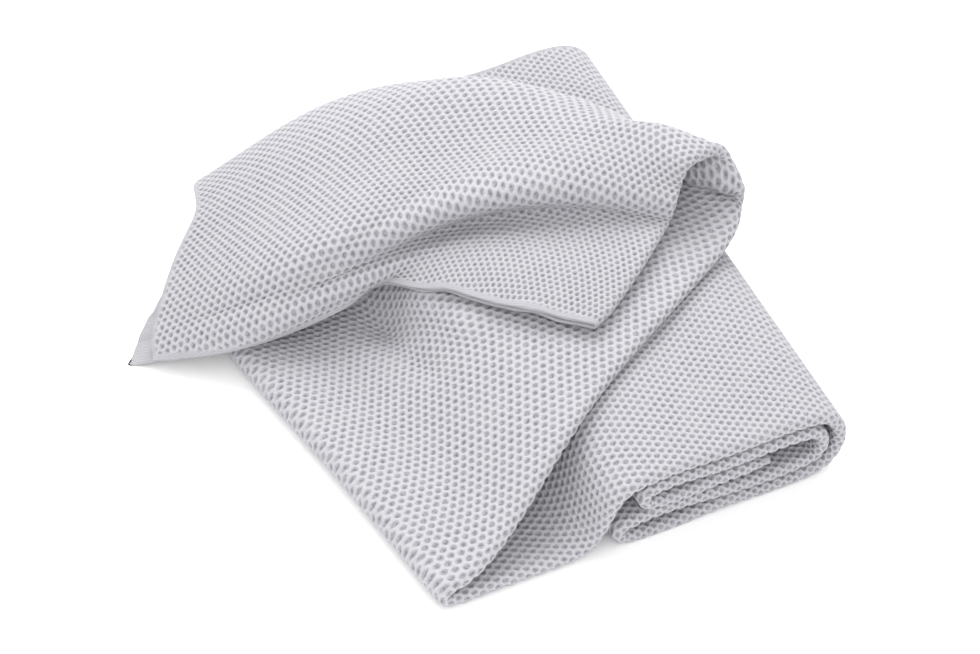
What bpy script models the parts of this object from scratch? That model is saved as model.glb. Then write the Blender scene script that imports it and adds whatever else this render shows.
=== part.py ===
"""Swaddle blanket of honeycomb knit, folded and lying on a flat surface.

The blanket is one knitted rectangle.  It is doubled along its length, so the
two plies meet in a rounded edge on the near side and end in two open hems on
the far side.  The doubled strip is wound into a small stack, its outer end
runs down to the surface, turns back over the stack as a cover, rolls over at
the back and comes forward again as a loose flap that ends in a hem.

The strip's middle surface is a smooth skin through its fold lines.  A line
starts at the doubled edge (near) and ends at the open hems (far).
Tables are in millimetres; the mesh is in metres.
"""
from collections import namedtuple

import bpy
import bmesh
import numpy as np

MM = 0.001

# The cloth
PLY = 3.0                    # thickness of one knitted ply
PLY_GAP = 1.0                # air between the two plies
HALF = PLY + PLY_GAP / 2     # from the middle surface to either outer face
STRIP_WIDTH = 300.0          # from the doubled edge to the open hems

# Where the part's origin lies in the tables' own frame
CENTRE = (78.15, 148.38)

# Mesh density
ACROSS = 12                  # cells from the doubled edge to the hems
EDGE_STEPS = 4               # cells round the doubled edge

# Heights of the strip's middle surface in the stack, at its near and far ends
BOTTOM_OUTER = (3.5, 3.5)
BOTTOM_INNER = (12.0, 13.0)
CORE = (20.5, 24.5)
TOP_INNER = (29.0, 38.0)
TOP_OUTER = (37.5, 50.0)

# Where the stack's turns reach, near and far
RIGHT_OUTER = (207.0, 229.0)
RIGHT_INNER = (197.5, 216.0)
LEFT_INNER = (101.0, 105.0)
LEFT_OUTER = (88.0, 92.0)
CORE_END = (168.0, 186.0)
STACK_MIDDLE = (140.0, 150.0)

LEFT_FOLD_RADIUS = 4.25

Line = namedtuple("Line", "name steps near inner middle outer far")

# The strip's outer end, from the stack's top down to the surface on the left
PANEL = (
    Line("panel top", 2, (150, 0, 37.5), (152, 75, 40.5), (155, 150, 43), (160, 225, 46.5), (168, 298, 49.5)),
    Line("panel brow", 1, (103, 0, 37), (106, 75, 40), (110, 150, 42.5), (112, 225, 45.5), (120, 298, 49)),
    Line("panel shoulder", 1, (89, 0, 32.5), (90, 75, 34.5), (91, 150, 36.5), (92, 225, 39), (96, 298, 42)),
    Line("panel slope", 2, (81, 0, 20), (77, 75, 19), (76, 150, 20), (78, 225, 21), (80, 298, 22)),
    Line("panel foot", 2, (73, 0, 8), (62, 75, 7.5), (60, 150, 7.5), (60, 225, 7.5), (62, 298, 7.5)),
    Line("panel flat", 2, (52, 0, 3.5), (42, 75, 3.5), (36, 150, 3.5), (34, 225, 3.5), (40, 298, 3.5)),
    Line("panel end", 1, (14, 0, 3.5), (6, 75, 3.5), (-4, 149, 3.5), (-9, 222, 3.5), (10, 294, 3.5)),
)

# The tip of the left fold, where the strip turns back over itself
LEFT_FOLD = Line("left fold", 1, (-2, 0, 8), (-10, 75, 8), (-20, 149, 8), (-25, 221, 8), (-6, 290, 8))

# The cover over the stack, the roll at its back and the flap that comes forward
COVER = (
    Line("cover foot", 2, (35, 12, 21), (23, 85, 14.5), (11, 159, 13.5), (5, 228, 13.2), (19, 288, 13.4)),
    Line("cover slope", 2, (71, 32, 40), (52, 100, 29), (36, 167, 21), (26, 232, 20), (32, 294, 18)),
    Line("cover brow", 2, (109, 57, 47.2), (84, 124, 46), (61, 187, 37), (45, 241, 31), (32, 296, 24)),
    Line("cover middle", 2, (154, 84, 49), (126, 147, 51.5), (98, 206, 51.5), (64, 255, 45), (22, 294, 30)),
    Line("cover back", 2, (196, 109, 50), (168, 169, 52.5), (128, 224, 56), (82, 268, 51), (12, 294, 34)),
    Line("cover rise", 2, (218, 124, 54), (196, 178, 56.5), (156, 236, 60), (98, 282, 55), (2, 292, 37)),
)
ROLL = (
    Line("roll back", 3, (228, 138, 64), (206, 187, 69), (160, 246, 71), (94, 288, 64), (-8, 286, 39)),
    Line("roll top", 3, (220, 147, 84), (187, 191, 82), (140, 258, 78), (75, 275, 70), (-13, 270, 41)),
    Line("plateau", 3, (210, 145, 86), (180, 187, 86), (118, 228, 78), (45, 230, 66), (-30, 250, 34)),
    Line("ridge", 3, (200, 144, 84), (168, 180, 86), (100, 195, 76), (20, 187, 60), (-51, 228, 18)),
    Line("roll front", 1, (192, 140, 75), (148, 158, 81), (90, 181, 73.5), (11, 185, 52), (-55.5, 223, 13.5)),
    Line("roll lip", 2, (187, 135, 70.5), (145, 155, 76), (88, 178, 69), (6, 184, 47), (-57, 221, 12)),
    Line("roll foot", 2, (184, 134, 63), (148, 157, 67.5), (90, 179.5, 61), (1, 183, 43), (-58.5, 219, 10)),
)
FLAP = (
    Line("flap back", 2, (174, 126, 60.5), (140, 150, 61), (83, 172.5, 56), (-7, 180, 37), (-60.5, 216, 8)),
    Line("flap middle", 3, (149, 106, 59), (114, 138, 60), (70, 166, 53), (-13, 178, 29.5), (-62, 212, 6)),
    Line("flap hem", 1, (117, 83, 58), (87, 115, 56), (59, 152, 47.5), (-14, 180, 23), (-64, 208, 4)),
)

# Soft forms pushed into the strip: how far past a line and where across, a reach along
# and across, and a push
Push = namedtuple("Push", "name line past across reach spread push")
PUSHES = (
    Push("lip of the roll", "plateau", 0, 0.08, 14, 0.06, (2, 5, 1)),
    Push("sag in the mouth", "roll back", 9, 0.08, 7, 0.1, (-4, -9, -4)),
    Push("crease under the sag", "roll back", -3, 0.08, 6, 0.1, (1, 2, -3)),
    Push("trough beside the stack", "cover slope", 12, 0.46, 11, 0.07, (1.5, 0, -4.5)),
    Push("end of the trough", "cover slope", 2, 0.36, 9, 0.06, (1, 0, -2.5)),
    Push("wave near the corner", "flap hem", 0, 0.13, 12, 0.04, (0, 0, 1.8)),
    Push("wave farther in", "flap hem", 0, 0.33, 12, 0.045, (0, 1, 1.5)),
    Push("left end of the flap", "flap hem", 0, 0.48, 9, 0.06, (4, 9, 1)),
)

# The ply under the flap reaches past the upper one at the left end
LOWER_PLY_REACH = 16.0       # how far past
LOWER_PLY_FROM = "plateau"   # the line where it starts
LOWER_PLY_LINES = 2.5        # lines over which it grows


def clear_scene():
    """Empty the file of its objects."""
    for thing in list(bpy.data.objects):
        bpy.data.objects.remove(thing, do_unlink=True)


def lengths_along(points):
    """Running length of a chain of points, along its first axis."""
    steps = np.linalg.norm(np.diff(points, axis=0), axis=-1)
    return np.concatenate([np.zeros_like(steps[:1]), np.cumsum(steps, axis=0)])


def spline(knots, points, places):
    """Natural cubic spline through points (n, k) at knots, read at places."""
    count = len(knots)
    gap = np.diff(knots)
    system = np.eye(count)
    right = np.zeros_like(points)
    for i in range(1, count - 1):
        system[i, i - 1:i + 2] = gap[i - 1], 2 * (gap[i - 1] + gap[i]), gap[i]
        right[i] = 6 * ((points[i + 1] - points[i]) / gap[i] - (points[i] - points[i - 1]) / gap[i - 1])
    bend = np.linalg.solve(system, right)
    i = np.clip(np.searchsorted(knots, places) - 1, 0, count - 2)
    a = ((knots[i + 1] - places) / gap[i])[:, None]
    b = 1 - a
    curve = (a ** 3 - a) * bend[i] + (b ** 3 - b) * bend[i + 1]
    return a * points[i] + b * points[i + 1] + curve * (gap[i] ** 2)[:, None] / 6


def fold_line(line, across):
    """A fold line of the table, spaced evenly by its length."""
    points = np.array([line.near, line.inner, line.middle, line.outer, line.far], float)
    knots = lengths_along(points)
    fine = spline(knots, points, np.linspace(0, knots[-1], 241))
    run = lengths_along(fine)
    return np.stack([np.interp(across * run[-1], run, fine[:, axis]) for axis in range(3)], 1)


def straight_line(x, z, across):
    """A fold line of the stack, straight from its near to its far end."""
    ends = np.array([(x[0], 0, z[0]), (x[1], STRIP_WIDTH, z[1])])
    return ends[0] + (ends[1] - ends[0]) * across[:, None]


def turn_lines(low, high, tip, angles, side, across):
    """Lines round a turn that joins two heights; side is 1 on the right and -1 on the left."""
    lines = []
    for angle in np.radians(angles):
        x, z = [], []
        for end in (0, 1):
            radius = (high[end] - low[end]) / 2
            x.append(tip[end] - side * radius * (1 - np.cos(angle)))
            z.append((high[end] + low[end]) / 2 + radius * np.sin(angle))
        lines.append(straight_line(x, z, across))
    return lines


def stack_lines(across):
    """The wound stack, from the strip's inner end out to the right-hand outer turn."""
    half_turn = (-90, -45, 0, 45, 90)
    wide_turn = (-90, -60, -30, 0, 30, 60, 90)
    lines = [straight_line(CORE_END, CORE, across)]
    lines.append(straight_line(STACK_MIDDLE, CORE, across))
    lines += turn_lines(CORE, TOP_INNER, LEFT_INNER, half_turn, -1, across)
    lines.append(straight_line(STACK_MIDDLE, TOP_INNER, across))
    lines += turn_lines(BOTTOM_INNER, TOP_INNER, RIGHT_INNER, wide_turn[::-1], 1, across)
    lines.append(straight_line(STACK_MIDDLE, BOTTOM_INNER, across))
    lines += turn_lines(BOTTOM_OUTER, BOTTOM_INNER, LEFT_OUTER, half_turn[::-1], -1, across)
    lines.append(straight_line(STACK_MIDDLE, BOTTOM_OUTER, across))
    lines += turn_lines(BOTTOM_OUTER, TOP_OUTER, RIGHT_OUTER, wide_turn, 1, across)
    return [("stack", 1, line) for line in lines]


def left_fold_lines(across):
    """The half-round turn at the left, from the surface up to the cover."""
    tip = fold_line(LEFT_FOLD, across)
    lines = []
    for angle in np.radians((-90, -45, 0, 45, 90)):
        inward = LEFT_FOLD_RADIUS * (1 - np.cos(angle))
        rise = LEFT_FOLD_RADIUS * np.sin(angle)
        lines.append((LEFT_FOLD.name, 1, tip + np.array((inward, 0, rise))))
    return lines


def all_lines(across):
    """Every fold line in order along the strip, as (name, steps, points)."""
    def table(rows):
        return [(row.name, row.steps, fold_line(row, across)) for row in rows]
    return stack_lines(across) + table(PANEL) + left_fold_lines(across) + table(COVER + ROLL + FLAP)


def skin(lines, places):
    """The strip's middle surface at fractional line numbers, one column for each place across."""
    grid = np.array([line[2] for line in lines])
    surface = np.zeros((len(places), grid.shape[1], 3))
    i = np.clip(np.floor(places).astype(int), 0, len(lines) - 2)
    for column in range(grid.shape[1]):
        knots = lengths_along(grid[:, column])
        at = knots[i] + (places - i) * (knots[i + 1] - knots[i])
        surface[:, column] = spline(knots, grid[:, column], at)
    return surface


def push_forms(surface, lines, places, across):
    """Press the soft forms of the table into the middle surface."""
    names = [line[0] for line in lines]
    run = lengths_along(np.array([line[2] for line in lines]))
    along = np.array([np.interp(places, np.arange(len(lines)), run[:, column])
                      for column in range(run.shape[1])]).T
    for form in PUSHES:
        start = run[names.index(form.line)] + form.past
        near_line = np.exp(-((along - start) / form.reach) ** 2)
        near_place = np.exp(-((across - form.across) / form.spread) ** 2)
        surface = surface + (near_line * near_place)[..., None] * np.array(form.push, float)
    return surface


def mesh_places(lines):
    """Fractional line numbers of the mesh's rings."""
    places = []
    for number, (_, steps, _) in enumerate(lines[:-1]):
        places += list(number + np.arange(steps) / steps)
    return np.array(places + [len(lines) - 1.0])


def directions(surface, lines, places, across):
    """Unit vectors square to the middle surface and along its width."""
    nudge = 0.02
    ahead = skin(lines, np.minimum(places + nudge, len(lines) - 1))
    behind = skin(lines, np.maximum(places - nudge, 0))
    width = np.gradient(surface, across, axis=1)
    normal = np.cross(ahead - behind, width)
    normal /= np.linalg.norm(normal, axis=2, keepdims=True)
    width /= np.linalg.norm(width, axis=2, keepdims=True)
    return normal, width


def ring(middle, normal, width):
    """One cross-section of the doubled cloth, as matching outer and inner point rows.

    The middle row comes twice, for the ply on the normal's side and for the other.

    Both rows start at the open hem of the ply on the normal's side, run to the
    doubled edge, round it and back to the other hem.
    """
    rows = []
    for off in (HALF, PLY_GAP / 2):
        upper = middle[0] + normal * off
        lower = middle[1] - normal * off
        turn = []
        for step in range(1, EDGE_STEPS):
            angle = np.pi * step / EDGE_STEPS
            turn.append(middle[0][0] + off * (normal[0] * np.cos(angle) - width[0] * np.sin(angle)))
        rows.append(np.concatenate([upper[::-1], np.array(turn), lower]))
    return rows


def blanket_points():
    """Rings of points along the strip: outer rows and inner rows, in metres."""
    across = np.linspace(0, 1, ACROSS + 1)
    lines = all_lines(across)
    places = mesh_places(lines)
    surface = push_forms(skin(lines, places), lines, places, across)
    normal, width = directions(surface, lines, places, across)
    first = [line[0] for line in lines].index(LOWER_PLY_FROM)
    outer, inner = [], []
    for number, place in enumerate(places):
        longer = surface[number].copy()
        share = np.clip((place - first) / LOWER_PLY_LINES, 0, 1)
        longer[-1] += width[number][-1] * share * LOWER_PLY_REACH
        outer_row, inner_row = ring((longer, surface[number]), normal[number], width[number])
        outer.append(outer_row)
        inner.append(inner_row)
    points = np.array([outer, inner])
    points[..., 0] -= CENTRE[0]
    points[..., 1] -= CENTRE[1]
    points[..., 2] = np.maximum(points[..., 2], 0)
    return points * MM


def build_blanket(material):
    """The doubled cloth as one closed body."""
    outer, inner = blanket_points()
    body = bmesh.new()
    skins = [[[body.verts.new(point) for point in row] for row in rows] for rows in (outer, inner)]
    for side, rows in enumerate(skins):
        for a, b in zip(rows, rows[1:]):
            for j in range(len(a) - 1):
                quad = (a[j], b[j], b[j + 1], a[j + 1])
                body.faces.new(quad if side else quad[::-1])
    outer_rows, inner_rows = skins
    for j in (0, len(outer_rows[0]) - 1):
        for i in range(len(outer_rows) - 1):
            quad = (outer_rows[i][j], outer_rows[i + 1][j], inner_rows[i + 1][j], inner_rows[i][j])
            body.faces.new(quad if j else quad[::-1])
    for i in (0, len(outer_rows) - 1):
        for j in range(len(outer_rows[0]) - 1):
            quad = (outer_rows[i][j], outer_rows[i][j + 1], inner_rows[i][j + 1], inner_rows[i][j])
            body.faces.new(quad[::-1] if i else quad)
    bmesh.ops.recalc_face_normals(body, faces=body.faces)
    if body.calc_volume(signed=True) < 0:
        bmesh.ops.reverse_faces(body, faces=body.faces)
    bmesh.ops.triangulate(body, faces=body.faces)
    mesh = bpy.data.meshes.new("blanket")
    body.to_mesh(mesh)
    body.free()
    mesh.shade_smooth()
    mesh.materials.append(material)
    blanket = bpy.data.objects.new("blanket", mesh)
    bpy.context.scene.collection.objects.link(blanket)
    return blanket


def knit_material():
    """Pale lavender-grey cotton knit."""
    material = bpy.data.materials.new("lavender grey knit")
    material.use_nodes = True
    shader = material.node_tree.nodes["Principled BSDF"]
    shader.inputs["Base Color"].default_value = (0.62, 0.62, 0.68, 1)
    shader.inputs["Roughness"].default_value = 0.9
    shader.inputs["Metallic"].default_value = 0.0
    return material


def main():
    clear_scene()
    build_blanket(knit_material())


if __name__ == "__main__":
    main()
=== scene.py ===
"""Dressed model of the folded, honeycomb-knit swaddle blanket.

The blanket is one knitted rectangle, doubled along its length.  The doubled
strip is wound into a stack, comes out as a panel, turns back as a cover, rolls
over at the back and ends in a flap.  Each operator knits one length of it, with
the honeycomb as real relief, and the hems are narrow bands along its borders.

Tables are in millimetres, in the tables' own frame; meshes are in metres, in
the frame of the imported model.
"""
from collections import namedtuple
from functools import lru_cache

import bpy
import numpy as np
from bpy.props import FloatProperty, FloatVectorProperty, PointerProperty
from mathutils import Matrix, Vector


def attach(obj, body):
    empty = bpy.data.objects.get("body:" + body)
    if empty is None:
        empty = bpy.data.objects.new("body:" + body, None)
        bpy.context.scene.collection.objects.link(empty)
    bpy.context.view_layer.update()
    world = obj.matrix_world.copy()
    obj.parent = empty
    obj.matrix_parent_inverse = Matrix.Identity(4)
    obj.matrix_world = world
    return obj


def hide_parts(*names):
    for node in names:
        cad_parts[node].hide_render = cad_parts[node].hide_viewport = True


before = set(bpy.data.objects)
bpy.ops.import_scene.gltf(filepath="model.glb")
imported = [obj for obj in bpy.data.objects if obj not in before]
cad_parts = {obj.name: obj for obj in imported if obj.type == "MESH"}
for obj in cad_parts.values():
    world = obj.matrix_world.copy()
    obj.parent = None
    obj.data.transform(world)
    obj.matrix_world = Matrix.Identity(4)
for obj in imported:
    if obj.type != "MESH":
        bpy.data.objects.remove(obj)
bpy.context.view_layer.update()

bl_info = {
    "name": "Folded knitted swaddle blanket",
    "version": (1, 0, 0),
    "blender": (4, 5, 0),
    "location": "3D View > Sidebar > Blanket",
    "description": "Knits the folded blanket over its packed solid and sets a plain studio round it",
    "category": "Add Mesh",
}

NODE = "blanket"
BODY = "root"
MM = 0.001

# ---------------- folding
# The same fold lines as in the solid, in millimetres, from the doubled edge (near)
# to the open hems (far).  The stack's pairs are x or z at its near and far end.

STRIP_WIDTH = 300.0                 # from the doubled edge to the open hems
CENTRE = (78.15, 148.38)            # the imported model's origin in the tables

BOTTOM_OUTER = (3.5, 3.5)
BOTTOM_INNER = (12.0, 13.0)
CORE = (20.5, 24.5)
TOP_INNER = (29.0, 38.0)
TOP_OUTER = (37.5, 50.0)

RIGHT_OUTER = (207.0, 229.0)
RIGHT_INNER = (197.5, 216.0)
LEFT_INNER = (101.0, 105.0)
LEFT_OUTER = (88.0, 92.0)
CORE_END = (168.0, 186.0)
STACK_MIDDLE = (140.0, 150.0)

LEFT_FOLD_RADIUS = 4.25

Line = namedtuple("Line", "name near inner middle outer far")

PANEL = (
    Line("panel top", (150, 0, 37.5), (152, 75, 40.5), (155, 150, 43), (160, 225, 46.5), (168, 298, 49.5)),
    Line("panel brow", (103, 0, 37), (106, 75, 40), (110, 150, 42.5), (112, 225, 45.5), (120, 298, 49)),
    Line("panel shoulder", (89, 0, 32.5), (90, 75, 34.5), (91, 150, 36.5), (92, 225, 39), (96, 298, 42)),
    Line("panel slope", (81, 0, 20), (77, 75, 19), (76, 150, 20), (78, 225, 21), (80, 298, 22)),
    Line("panel foot", (73, 0, 8), (62, 75, 7.5), (60, 150, 7.5), (60, 225, 7.5), (62, 298, 7.5)),
    Line("panel flat", (52, 0, 3.5), (42, 75, 3.5), (36, 150, 3.5), (34, 225, 3.5), (40, 298, 3.5)),
    Line("panel end", (14, 0, 3.5), (6, 75, 3.5), (-4, 149, 3.5), (-9, 222, 3.5), (10, 294, 3.5)),
)
LEFT_FOLD = Line("left fold", (-2, 0, 8), (-10, 75, 8), (-20, 149, 8), (-25, 221, 8), (-6, 290, 8))
COVER = (
    Line("cover foot", (35, 12, 21), (23, 85, 14.5), (11, 159, 13.5), (5, 228, 13.2), (19, 288, 13.4)),
    Line("cover slope", (71, 32, 40), (52, 100, 29), (36, 167, 21), (26, 232, 20), (32, 294, 18)),
    Line("cover brow", (109, 57, 47.2), (84, 124, 46), (61, 187, 37), (45, 241, 31), (32, 296, 24)),
    Line("cover middle", (154, 84, 49), (126, 147, 51.5), (98, 206, 51.5), (64, 255, 45), (22, 294, 30)),
    Line("cover back", (196, 109, 50), (168, 169, 52.5), (128, 224, 56), (82, 268, 51), (12, 294, 34)),
    Line("cover rise", (218, 124, 54), (196, 178, 56.5), (156, 236, 60), (98, 282, 55), (2, 292, 37)),
)
ROLL = (
    Line("roll back", (228, 138, 64), (206, 187, 69), (160, 246, 71), (94, 288, 64), (-8, 286, 39)),
    Line("roll top", (220, 147, 84), (187, 191, 82), (140, 258, 78), (75, 275, 70), (-13, 270, 41)),
    Line("plateau", (210, 145, 86), (180, 187, 86), (118, 228, 78), (45, 230, 66), (-30, 250, 34)),
    Line("ridge", (200, 144, 84), (168, 180, 86), (100, 195, 76), (20, 187, 60), (-51, 228, 18)),
    Line("roll front", (192, 140, 75), (148, 158, 81), (90, 181, 73.5), (11, 185, 52), (-55.5, 223, 13.5)),
    Line("roll lip", (187, 135, 70.5), (145, 155, 76), (88, 178, 69), (6, 184, 47), (-57, 221, 12)),
    Line("roll foot", (184, 134, 63), (148, 157, 67.5), (90, 179.5, 61), (1, 183, 43), (-58.5, 219, 10)),
)
FLAP = (
    Line("flap back", (174, 126, 60.5), (140, 150, 61), (83, 172.5, 56), (-7, 180, 37), (-60.5, 216, 8)),
    Line("flap middle", (149, 106, 59), (114, 138, 60), (70, 166, 53), (-13, 178, 29.5), (-62, 212, 6)),
    Line("flap hem", (117, 83, 58), (87, 115, 56), (59, 152, 47.5), (-14, 180, 23), (-64, 208, 4)),
)

# Soft forms pressed into the cloth.  line, past: a fold line, and how far past it,
# in millimetres.  across: the share of the width, from the doubled edge.  reach,
# spread: how far the form fades along the strip, in millimetres, and across it, as
# a share of the width.  push: how far it moves the cloth.
Push = namedtuple("Push", "name line past across reach spread push")
PUSHES = (
    Push("lip of the roll", "plateau", 0, 0.08, 14, 0.06, (2, 5, 1)),
    Push("sag in the mouth", "roll back", 8, 0.03, 7, 0.05, (-2, -9, -4)),
    Push("sag farther in", "roll back", 2, 0.12, 10, 0.07, (-5, -15, -3)),
    Push("crease under the sag", "roll back", -6, 0.06, 6, 0.08, (1, 3, -3)),
    Push("trough beside the stack", "cover slope", 7, 0.50, 13, 0.09, (2, 0, -9)),
    Push("brow beside the trough", "cover brow", -4, 0.42, 12, 0.07, (-6, 0, 3)),
    Push("end of the brow", "cover brow", -8, 0.32, 11, 0.05, (-3, 0, 2)),
    Push("end of the trough", "cover slope", 2, 0.36, 9, 0.06, (1, 0, -2.5)),
    Push("brow of the roll", "roll front", 0, 0.36, 6, 0.16, (-2, -4, 1)),
    Push("foot under the lip", "roll foot", 0, 0.36, 5, 0.16, (1, 4, -2)),
    Push("crease under the lip", "flap back", -3, 0.36, 6, 0.16, (1, 3, -3)),
    Push("wave near the corner", "flap hem", 0, 0.13, 12, 0.04, (0, 0, 1.8)),
    Push("wave farther in", "flap hem", 0, 0.33, 12, 0.045, (0, 1, 1.5)),
    Push("left end of the flap", "flap hem", 0, 0.48, 9, 0.06, (4, 9, 1)),
)

# From the roll on, the ply that comes to lie below reaches past the other at the
# far border
LOWER_PLY_REACH = 15.0              # how far past
LOWER_PLY_FROM = ("plateau", 0.35)  # the line where it starts, and the part of a line after it
LOWER_PLY_LINES = 0.9               # lines over which it swells
LOWER_PLY_SWELL = 0.6               # share of the reach gained in the swell; the rest grows evenly
LOWER_PLY_ACROSS = 0.75             # share of the width past which it leaves the other ply


class ClothSizes(bpy.types.PropertyGroup):
    """Sizes of the knitted cloth."""
    ply: FloatProperty(name="Ply", description="Thickness of one knitted ply",
                       default=0.003, unit="LENGTH")
    gap: FloatProperty(name="Gap", description="Air between the two plies",
                       default=0.001, unit="LENGTH")
    cell_length: FloatProperty(name="Cell length", description="Two rows of cells along the strip",
                               default=0.0064, unit="LENGTH")
    cell_width: FloatProperty(name="Cell width", description="Two rows of cells across the strip",
                              default=0.0044, unit="LENGTH")
    net: FloatProperty(name="Net", description="Width of the raised net between the cells",
                       default=0.0008, unit="LENGTH")
    wall: FloatProperty(name="Wall", description="Reach of a cell's sloping wall, from net to pit floor",
                        default=0.0009, unit="LENGTH")
    pit_depth: FloatProperty(name="Pit depth", description="Depth of a cell's pit",
                             default=0.0011, unit="LENGTH")
    hem: FloatProperty(name="Hem", description="Width of the smooth band at a hem",
                       default=0.0028, unit="LENGTH")
    border: FloatProperty(name="Border", description="Width of the plain edge along the far border",
                          default=0.0014, unit="LENGTH")
    rib: FloatProperty(name="Rib", description="Distance between the fine ribs across a hem",
                       default=0.0013, unit="LENGTH")


class KnitColours(bpy.types.PropertyGroup):
    """Colours of the yarn, with painted shade for its pits and hollows and painted shadow for the gaps."""
    yarn: FloatVectorProperty(name="Yarn", description="Raised net of the knit", subtype="COLOR",
                              size=3, default=(0.430, 0.427, 0.449), min=0, max=1)
    # Painted shade: darker than the yarn, it stands in for the shade in a cell's pit, and also paints the
    # shade in the rib grooves and between the stitches
    shaded_pit: FloatVectorProperty(name="Pit", description="Yarn at the bottom of a cell", subtype="COLOR",
                             size=3, default=(0.345, 0.343, 0.368), min=0, max=1)
    # Painted shadow: near black where the shade between the plies shows through the gaps in a pit
    shadow_hole: FloatVectorProperty(name="Hole", description="Gaps between the strands of a cell", subtype="COLOR",
                              size=3, default=(0.10, 0.10, 0.125), min=0, max=1)
    hem: FloatVectorProperty(name="Hem", description="Smooth band at the hems", subtype="COLOR",
                             size=3, default=(0.350, 0.347, 0.370), min=0, max=1)
    tint: FloatVectorProperty(name="Tint", description="Cooler patches of the yarn", subtype="COLOR",
                              size=3, default=(0.365, 0.366, 0.415), min=0, max=1)


class StudioSettings(bpy.types.PropertyGroup):
    """Camera and light."""
    azimuth: FloatProperty(name="Azimuth", description="Camera's turn round the blanket",
                           default=np.radians(-26.0), subtype="ANGLE")
    elevation: FloatProperty(name="Elevation", description="Camera's angle above the surface",
                             default=np.radians(42.0), subtype="ANGLE")
    distance: FloatProperty(name="Distance", description="From the camera to the blanket",
                            default=1.25, unit="LENGTH")
    lens: FloatProperty(name="Lens", description="Focal length",
                        default=91.84, unit="CAMERA")
    floor: FloatVectorProperty(name="Floor", description="Colour of the surface", subtype="COLOR",
                               size=3, default=(0.96, 0.96, 0.96), min=0, max=1)


# ---------------- surface
FOLD_LINE_POINTS = 241              # places at which a fold line's length is measured


def lengths_along(points):
    """Running length of a chain of points, along its first axis."""
    steps = np.linalg.norm(np.diff(points, axis=0), axis=-1)
    return np.concatenate([np.zeros_like(steps[:1]), np.cumsum(steps, axis=0)])


def spline(knots, points, places):
    """Natural cubic spline through points (n, k) at knots, read at places."""
    count = len(knots)
    gap = np.diff(knots)
    system = np.eye(count)
    right = np.zeros_like(points)
    for i in range(1, count - 1):
        system[i, i - 1:i + 2] = gap[i - 1], 2 * (gap[i - 1] + gap[i]), gap[i]
        right[i] = 6 * ((points[i + 1] - points[i]) / gap[i] - (points[i] - points[i - 1]) / gap[i - 1])
    bend = np.linalg.solve(system, right)
    i = np.clip(np.searchsorted(knots, places) - 1, 0, count - 2)
    a = ((knots[i + 1] - places) / gap[i])[:, None]
    b = 1 - a
    curve = (a ** 3 - a) * bend[i] + (b ** 3 - b) * bend[i + 1]
    return a * points[i] + b * points[i + 1] + curve * (gap[i] ** 2)[:, None] / 6


def fold_line(line, across):
    """A fold line of the table, spaced evenly by its length."""
    points = np.array([line.near, line.inner, line.middle, line.outer, line.far], float)
    knots = lengths_along(points)
    fine = spline(knots, points, np.linspace(0, knots[-1], FOLD_LINE_POINTS))
    run = lengths_along(fine)
    return np.stack([np.interp(across * run[-1], run, fine[:, axis]) for axis in range(3)], 1)


def straight_line(x, z, across):
    """A fold line of the stack, straight from its near to its far end."""
    ends = np.array([(x[0], 0, z[0]), (x[1], STRIP_WIDTH, z[1])])
    return ends[0] + (ends[1] - ends[0]) * across[:, None]


def turn_lines(low, high, tip, angles, side, across):
    """Lines round a turn that joins two heights; side is 1 on the right and -1 on the left."""
    lines = []
    for angle in np.radians(angles):
        x, z = [], []
        for end in (0, 1):
            radius = (high[end] - low[end]) / 2
            x.append(tip[end] - side * radius * (1 - np.cos(angle)))
            z.append((high[end] + low[end]) / 2 + radius * np.sin(angle))
        lines.append(straight_line(x, z, across))
    return lines


def stack_lines(across):
    """The wound stack, from the strip's inner end out to the right-hand outer turn."""
    half_turn = (-90, -45, 0, 45, 90)
    wide_turn = (-90, -60, -30, 0, 30, 60, 90)
    lines = [straight_line(CORE_END, CORE, across)]
    lines.append(straight_line(STACK_MIDDLE, CORE, across))
    lines += turn_lines(CORE, TOP_INNER, LEFT_INNER, half_turn, -1, across)
    lines.append(straight_line(STACK_MIDDLE, TOP_INNER, across))
    lines += turn_lines(BOTTOM_INNER, TOP_INNER, RIGHT_INNER, wide_turn[::-1], 1, across)
    lines.append(straight_line(STACK_MIDDLE, BOTTOM_INNER, across))
    lines += turn_lines(BOTTOM_OUTER, BOTTOM_INNER, LEFT_OUTER, half_turn[::-1], -1, across)
    lines.append(straight_line(STACK_MIDDLE, BOTTOM_OUTER, across))
    lines += turn_lines(BOTTOM_OUTER, TOP_OUTER, RIGHT_OUTER, wide_turn, 1, across)
    return [("stack", line) for line in lines]


def left_fold_lines(across):
    """The half-round turn at the left, from the surface up to the cover."""
    tip = fold_line(LEFT_FOLD, across)
    lines = []
    for angle in np.radians((-90, -45, 0, 45, 90)):
        inward = LEFT_FOLD_RADIUS * (1 - np.cos(angle))
        rise = LEFT_FOLD_RADIUS * np.sin(angle)
        lines.append((LEFT_FOLD.name, tip + np.array((inward, 0, rise))))
    return lines


def all_lines(across):
    """Every fold line in order along the strip, as (name, points)."""
    def table(rows):
        return [(row.name, fold_line(row, across)) for row in rows]
    return stack_lines(across) + table(PANEL) + left_fold_lines(across) + table(COVER + ROLL + FLAP)


def line_number(name):
    """Number of a fold line in the strip's order; the stack's is its last."""
    names = [line[0] for line in all_lines(np.array([0.0, 1.0]))]
    return len(names) - 1 - names[::-1].index(name)


def along(knots, places):
    """Lengths along one column at fractional line numbers."""
    i = np.clip(np.floor(places).astype(int), 0, len(knots) - 2)
    return knots[i] + (places - i) * (knots[i + 1] - knots[i])


def skin(lines, places):
    """The strip's middle surface at fractional line numbers, one column for each place across."""
    grid = np.array([line[1] for line in lines])
    surface = np.zeros((len(places), grid.shape[1], 3))
    for column in range(grid.shape[1]):
        knots = lengths_along(grid[:, column])
        surface[:, column] = spline(knots, grid[:, column], along(knots, places))
    return surface


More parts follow.
